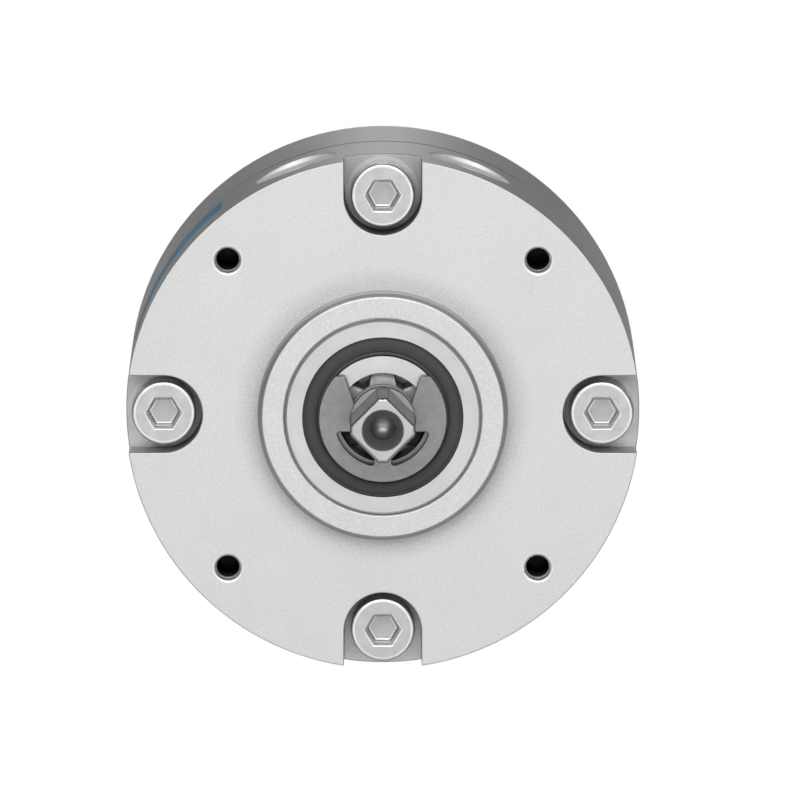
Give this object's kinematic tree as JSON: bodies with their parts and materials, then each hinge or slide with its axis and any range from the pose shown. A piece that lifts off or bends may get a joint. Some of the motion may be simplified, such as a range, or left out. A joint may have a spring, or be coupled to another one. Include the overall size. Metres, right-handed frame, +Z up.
{
  "type": "pneumatic rotary actuator",
  "caption": "Round vane-type pneumatic rotary actuator with side ports, piloted end faces, a keyed output shaft and a square rear shaft end held by a clip.",
  "frame": {"origin": "centre of the drive-side mounting face, on the shaft axis", "axes": "+Y along the shaft towards the keyed output spigot, +Z up between the two air ports, +X to the right seen from the square rear end"},
  "size_m": [0.0575, 0.0696, 0.0574],
  "materials": {
    "shell_aluminium": "bead-blasted and clear anodised",
    "vane_aluminium": "machined",
    "shaft_steel": "ground",
    "bearing_steel": "ground and polished",
    "screw_steel": "zinc-plated",
    "clip_steel": "oiled spring steel",
    "seal_rubber": "moulded nitrile rubber",
    "cage_plastic": "moulded polyamide"
  },
  "bodies": {
    "housing": {"rear_housing": "shell_aluminium", "front_housing": "shell_aluminium", "joint_seal": "seal_rubber", "clamp_screws": "screw_steel", "dowel_pins": "bearing_steel", "rear_shaft_seal": "seal_rubber", "front_shaft_seal": "seal_rubber", "stop_block": "vane_aluminium", "stop_seal": "seal_rubber", "stop_buffers": "seal_rubber", "stop_pins": "bearing_steel", "rear_bearing_outer_ring": "bearing_steel", "rear_bearing_seal": "seal_rubber", "front_bearing_outer_ring": "bearing_steel", "front_bearing_seal": "seal_rubber"},
    "rotor": {"rotor_shaft": "shaft_steel", "output_key": "shaft_steel", "retaining_clip": "clip_steel", "vane": "vane_aluminium", "vane_seal": "seal_rubber", "rear_bearing_inner_ring": "bearing_steel", "front_bearing_inner_ring": "bearing_steel"},
    "rear_ball_set": {"rear_bearing_balls": "bearing_steel", "rear_bearing_cage": "cage_plastic"},
    "front_ball_set": {"front_bearing_balls": "bearing_steel", "front_bearing_cage": "cage_plastic"}
  },
  "joints": [
    {"name": "rotor_turn", "type": "hinge", "parent": "housing", "child": "rotor", "pos_m": [0, 0, 0], "axis": [0, 1, 0], "range_deg": [-135, 135]},
    {"name": "rear_ball_roll", "type": "hinge", "parent": "housing", "child": "rear_ball_set", "pos_m": [0, -0.0326, 0], "axis": [0, 1, 0], "range_deg": [-57, 57]},
    {"name": "front_ball_roll", "type": "hinge", "parent": "housing", "child": "front_ball_set", "pos_m": [0, -0.0004, 0], "axis": [0, 1, 0], "range_deg": [-57, 57]}
  ],
  "couplings": [
    {"joint": "rear_ball_roll", "follows": "rotor_turn", "ratio": 0.4055},
    {"joint": "front_ball_roll", "follows": "rotor_turn", "ratio": 0.4162}
  ]
}
